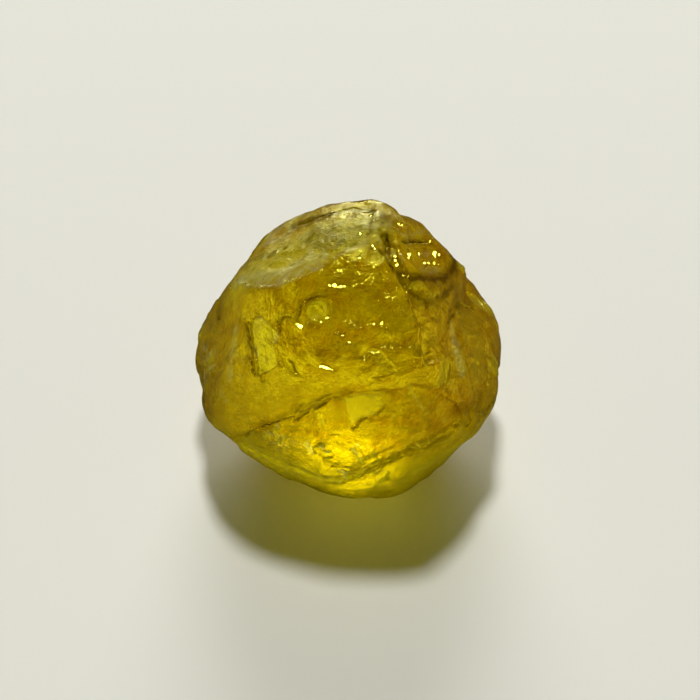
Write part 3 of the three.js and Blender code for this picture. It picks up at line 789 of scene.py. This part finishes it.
def mark_front(skin):
    skin.shade("dull", FRONT, DULL)
    make_all(skin.plate, FRONT, PLATES)
    # Painted glow along the clear streaks.
    skin.shade("clear_and_glow", FRONT, CLEAR_GLOW_STREAKS)
    # Stain, and painted shade in hollows and less lit parts.
    skin.shade("stain_and_shade", FRONT, STAINS_AND_SHADE)
    make_all(skin.ledge, FRONT, LEDGES)
    make_all(skin.crack, FRONT, CRACKS)
    skin.shade("frost", FRONT, FROST)
    for seed, outline in enumerate(FLATS):
        skin.flat_chip(FRONT, outline, seed)
    for radius, place in CHIPS:
        skin.chip(FRONT, radius, place)


def mark_sides(skin):
    for facing, marks in SIDES.items():
        view = View(*facing)
        make_all(skin.plate, view, marks["plates"])
        skin.shade("stain_and_shade", view, marks["stains"])
        make_all(skin.crack, view, marks["cracks"])
        for pit in marks["pits"]:
            skin.pit(view, *pit)
        skin.shade("frost", view, marks["frost"])


def crystal():
    """The whole stone: its grown and evened skin with all its marks."""
    mesh = even_skin()
    form = BVHTree.FromBMesh(mesh)
    finer_skin(mesh, form)
    skin = Skin(mesh, form)
    mark_front(skin)
    mark_sides(skin)
    skin.finish()
    bmesh.ops.scale(mesh, vec=(MM, MM, MM), verts=mesh.verts)
    for face in mesh.faces:
        face.smooth = True
    data = bpy.data.meshes.new("crystal")
    mesh.to_mesh(data)
    mesh.free()
    stone = bpy.data.objects.new("crystal", data)
    bpy.context.scene.collection.objects.link(stone)
    stone.data.materials.append(yellow_crystal())
    return stone


# -------------------- materials

DIAMOND_IOR = 2.42
SEE_THROUGH = 0.80
SHEEN_TINT = (0.50, 0.50, 0.04, 1)
INNER_COLOUR = (0.9957, 0.9957, 0.0, 1)
INNER_DENSITY = 4500  # per metre
DEEP_AMBER = (0.66, 0.34, 0.0, 1)
BRIGHT_YELLOW = (1.0, 0.78, 0.01, 1)
DARK_MOTTLES = (0.50, 0.32, 0.0, 1)
# Colours laid over parts of the body: colour, share, axis, and from where to where they come in on
# that axis and on the vertical one. The lighter lemon low in front is painted glow, where light
# through the stone comes out brightest, and warm amber is high at the right.
TINTS_AND_GLOW = (
    ((0.85, 0.82, 0.02, 1), 0.7, "Y", (-0.6, -1.8), (2.4, 1.2)),
    ((0.76, 0.30, 0.0, 1), 0.45, "X", (0.9, 2.0), (1.8, 2.8)),
)
# Clear skin is lighter: its yellow paints the glow of inner reflections and of light through the
# stone.
CLEAR_GLOW_YELLOW = (1.0, 0.90, 0.04, 1)
FROST_COLOUR = (1.0, 0.98, 0.50, 1)
# Brown of stains, which also paints shade in hollows and cracks.
STAIN_AND_SHADE_BROWN = (0.06, 0.010, 0.0, 1)
GLOSSY, ETCHED = 0.11, 0.65  # roughness of the clean skin and of the dull skin
# Size and detail of the patches in the skin's noise.
ZONE_NOISE, MOTTLE_NOISE, FINE_NOISE = (0.30, 4), (0.055, 2), (0.09, 4)
# The noise's value at the start and the end of each, and the strength there.
ZONES, MOTTLES = (0.35, 0.62), (0.42, 0.70, 0.0, 0.8)
FROST_STREAKS, SPECKS = (0.36, 0.62, 0.25, 1.5), (0.52, 0.36, 0.0, 0.42)
BUMP_HEIGHT = 0.028
ETCH_CELLS = 0.28
STREAK_TURN = (0, math.radians(-22), math.radians(22))
STREAK_STRETCH = (3.5, 1, 1)

FLOOR_COLOUR = (0.80, 0.81, 0.94, 1)
FLOOR_ROUGHNESS = 0.9
FLOOR_IN_GLARE = (0.05, 0.045, 0.03, 1)


class Nodes:
    """The nodes of a material or a world."""

    def __init__(self, owner):
        owner.use_nodes = True
        self.tree = owner.node_tree

    def new(self, kind, inputs=None, **settings):
        """The outputs of a new node."""
        node = self.tree.nodes.new(kind)
        for name, value in settings.items():
            setattr(node, name, value)
        return self.fill(node, inputs or {})

    def fill(self, node, inputs):
        """Sets or links a node's inputs, and gives its outputs."""
        for name, value in inputs.items():
            if isinstance(value, bpy.types.NodeSocket):
                self.tree.links.new(value, node.inputs[name])
            else:
                node.inputs[name].default_value = value
        return node.outputs

    def fill_own(self, name, inputs):
        """The same for a node that is there already."""
        return self.fill(self.tree.nodes[name], inputs)

    def noise(self, place, size, detail):
        inputs = {"Vector": place, "Scale": 1 / (size * MM), "Detail": detail}
        return self.new("ShaderNodeTexNoise", inputs)["Fac"]

    def mixed(self, factor, first, second):
        inputs = {"Factor": factor, 6: first, 7: second}
        return self.new("ShaderNodeMix", inputs, data_type="RGBA")[2]

    def spread(self, value, low, high, start=0.0, end=1.0):
        """A value's share of the way from low to high, brought to the way from start to end."""
        inputs = {"Value": value, "From Min": low, "From Max": high, "To Min": start, "To Max": end}
        return self.new("ShaderNodeMapRange", inputs)["Result"]

    def combined(self, operation, first, second, clamped=False):
        settings = {"operation": operation, "use_clamp": clamped}
        return self.new("ShaderNodeMath", {0: first, 1: second}, **settings)[0]


def zoned_colour(nodes, place):
    """The body's colour: amber and yellow zones, darker mottles, and tints, the lemon one painted
    glow.
    """
    zones = nodes.spread(nodes.noise(place, *ZONE_NOISE), *ZONES)
    mottles = nodes.spread(nodes.noise(place, *MOTTLE_NOISE), *MOTTLES)
    body = nodes.mixed(mottles, nodes.mixed(zones, DEEP_AMBER, BRIGHT_YELLOW), DARK_MOTTLES)
    apart = nodes.new("ShaderNodeSeparateXYZ", {"Vector": place})
    # The lemon tint low in front is painted glow.
    for laid_colour, share, axis, (start, end), (low, high) in TINTS_AND_GLOW:
        along = nodes.spread(apart[axis], start * MM, end * MM)
        upright = nodes.spread(apart["Z"], low * MM, high * MM, 0.0, share)
        body = nodes.mixed(nodes.combined("MULTIPLY", along, upright), body, laid_colour)
    return body


def yellow_crystal():
    """See-through yellow crystal, frosted, stained and darkened by painted shade, lightened by
    painted glow, dull or clean where the skin says so.
    """
    material = bpy.data.materials.new("yellow crystal")
    nodes = Nodes(material)
    place = nodes.new("ShaderNodeTexCoord")["Object"]
    frost, stain_and_shade, clear_and_glow, flat, dull = (
        nodes.new("ShaderNodeAttribute", attribute_name=name)["Fac"] for name in SKIN_VALUES
    )
    grain = {"Vector": place, "Rotation": STREAK_TURN, "Scale": STREAK_STRETCH}
    drawn_out = nodes.new("ShaderNodeMapping", grain, vector_type="TEXTURE")["Vector"]
    streaks = nodes.noise(drawn_out, *FINE_NOISE)
    frost = nodes.combined("MULTIPLY", frost, nodes.spread(streaks, *FROST_STREAKS))
    specks = nodes.combined("MULTIPLY", dull, nodes.spread(streaks, *SPECKS))
    # Lighter yellow where the skin is clear: painted glow of inner reflections.
    colour = nodes.mixed(clear_and_glow, zoned_colour(nodes, place), CLEAR_GLOW_YELLOW)
    colour = nodes.mixed(frost, colour, FROST_COLOUR)
    # Brown where the skin is stained: stain and painted shade, with dark specks of grain in the
    # dull skin.
    colour = nodes.mixed(nodes.combined("ADD", stain_and_shade, specks), colour, STAIN_AND_SHADE_BROWN)

    unbroken = nodes.spread(flat, 0, 1, 1, 0)
    roughness = nodes.spread(dull, 0, 1, GLOSSY, ETCHED)
    cells = nodes.new("ShaderNodeTexVoronoi", {"Vector": place, "Scale": 1 / (ETCH_CELLS * MM)})
    relief = nodes.combined("ADD", nodes.noise(place, *FINE_NOISE), cells["Distance"])
    height = nodes.combined("MULTIPLY", relief, unbroken)
    bump = {"Strength": 1.0, "Distance": BUMP_HEIGHT * MM, "Height": height}
    surface = {
        "Base Color": colour,
        "IOR": DIAMOND_IOR,
        "Specular Tint": SHEEN_TINT,
        "Transmission Weight": SEE_THROUGH,
        "Roughness": nodes.combined("MULTIPLY", roughness, unbroken),
        "Normal": nodes.new("ShaderNodeBump", bump)["Normal"],
    }
    nodes.fill_own("Principled BSDF", surface)
    inside = {"Color": INNER_COLOUR, "Density": INNER_DENSITY}
    volume = nodes.new("ShaderNodeVolumeAbsorption", inside)["Volume"]
    nodes.fill_own("Material Output", {"Volume": volume})
    return material


def pale_floor_finish():
    """Matt and pale, and dark only to the stone's own glare, which would wash out its yellow."""
    material = bpy.data.materials.new("pale floor")
    nodes = Nodes(material)
    matt = {"Base Color": FLOOR_COLOUR, "Roughness": FLOOR_ROUGHNESS, "Specular IOR Level": 0.0}
    pale = nodes.fill_own("Principled BSDF", matt)[0]
    dark = nodes.new("ShaderNodeBsdfDiffuse", {"Color": FLOOR_IN_GLARE})[0]
    path = nodes.new("ShaderNodeLightPath")
    glare = nodes.combined("SUBTRACT", path["Is Glossy Ray"], path["Is Transmission Ray"], True)
    finish = nodes.new("ShaderNodeMixShader", {0: glare, 1: pale, 2: dark})[0]
    nodes.fill_own("Material Output", {"Surface": finish})
    return material


# -------------------- floor, light and camera

FLOOR_REACH = 280
LAMP_COLOUR = (1.0, 0.98, 0.80)
LAMP_DISTANCE = 300
# Azimuth, elevation, width and power of each lamp.
LAMPS = {
    "overhead lamp": (180, 72, 50, 0.55),
    "back lamp": (180, 15, 160, 0.72),
    "high back lamp": (180, 35, 120, 0.10),
}
GLOW_COLOUR = (3.95, 3.75, 0.75, 1)
GLOW_TOP = 0.35  # how far up the low glow has faded out, where 1 is overhead
GLOW_BACK = 0.6  # and how far back, where 1 is straight behind the stone
BACKDROP_COLOUR = (0.76, 0.76, 0.73, 1)
BOUNCES = 32


def floor():
    sheet = bmesh.new()
    bmesh.ops.create_grid(sheet, x_segments=1, y_segments=1, size=FLOOR_REACH * MM)
    mesh = bpy.data.meshes.new("floor")
    sheet.to_mesh(mesh)
    sheet.free()
    ground = bpy.data.objects.new("floor", mesh)
    ground.data.materials.append(pale_floor_finish())
    bpy.context.scene.collection.objects.link(ground)
    return ground


def lamp(name, azimuth, elevation, width, power):
    """A soft round lamp that faces the stone."""
    light = bpy.data.lights.new(name, "AREA")
    light.shape = "DISK"
    light.size = width * MM
    light.energy = power
    light.color = LAMP_COLOUR
    holder = bpy.data.objects.new(name, light)
    away = direction(azimuth, elevation)
    holder.location = (CENTRE + away * LAMP_DISTANCE) * MM
    holder.rotation_euler = away.to_track_quat("Z", "Y").to_euler()
    holder.visible_camera = False
    bpy.context.scene.collection.objects.link(holder)


def studio_light():
    """A lamp overhead, two behind, and a warm glow low down in front and at the sides."""
    for name, values in LAMPS.items():
        lamp(name, *values)
    world = bpy.data.worlds.new("studio")
    bpy.context.scene.world = world
    nodes = Nodes(world)
    around = nodes.new("ShaderNodeTexCoord")["Generated"]
    way = nodes.new("ShaderNodeSeparateXYZ", {"Vector": around})
    low = nodes.spread(way["Z"], GLOW_TOP, 0.0)
    ahead = nodes.spread(way["Y"], GLOW_BACK, 0.0)
    strength = nodes.combined("MULTIPLY", low, ahead)
    glow = nodes.fill_own("Background", {"Color": GLOW_COLOUR, "Strength": strength})[0]
    plain = nodes.new("ShaderNodeBackground", {"Color": BACKDROP_COLOUR})[0]
    to_camera = nodes.new("ShaderNodeLightPath")["Is Camera Ray"]
    seen = nodes.new("ShaderNodeMixShader", {0: to_camera, 1: glow, 2: plain})[0]
    nodes.fill_own("World Output", {"Surface": seen})


def camera():
    lens = bpy.data.cameras.new("camera")
    lens.lens = LENS_MM
    lens.sensor_width = SENSOR_MM
    lens.clip_start, lens.clip_end = (reach * MM for reach in CAMERA_REACH)
    lens.shift_x = FRAME_SHIFT
    lens.shift_y = FRAME_SHIFT
    holder = bpy.data.objects.new("camera", lens)
    holder.location = FRONT.eye * MM
    holder.rotation_euler = FRONT.back.to_track_quat("Z", "Y").to_euler()
    bpy.context.scene.collection.objects.link(holder)
    bpy.context.scene.camera = holder


def light_paths():
    """Bounces and colour handling that a stone of such high refraction needs."""
    scene = bpy.context.scene
    scene.cycles.max_bounces = BOUNCES
    scene.cycles.transmission_bounces = BOUNCES
    scene.cycles.glossy_bounces = BOUNCES
    scene.cycles.sample_clamp_indirect = 0
    scene.view_settings.view_transform = "Standard"


stone = crystal()
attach(stone, "root")
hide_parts("rough_diamond")
floor()
studio_light()
camera()
light_paths()
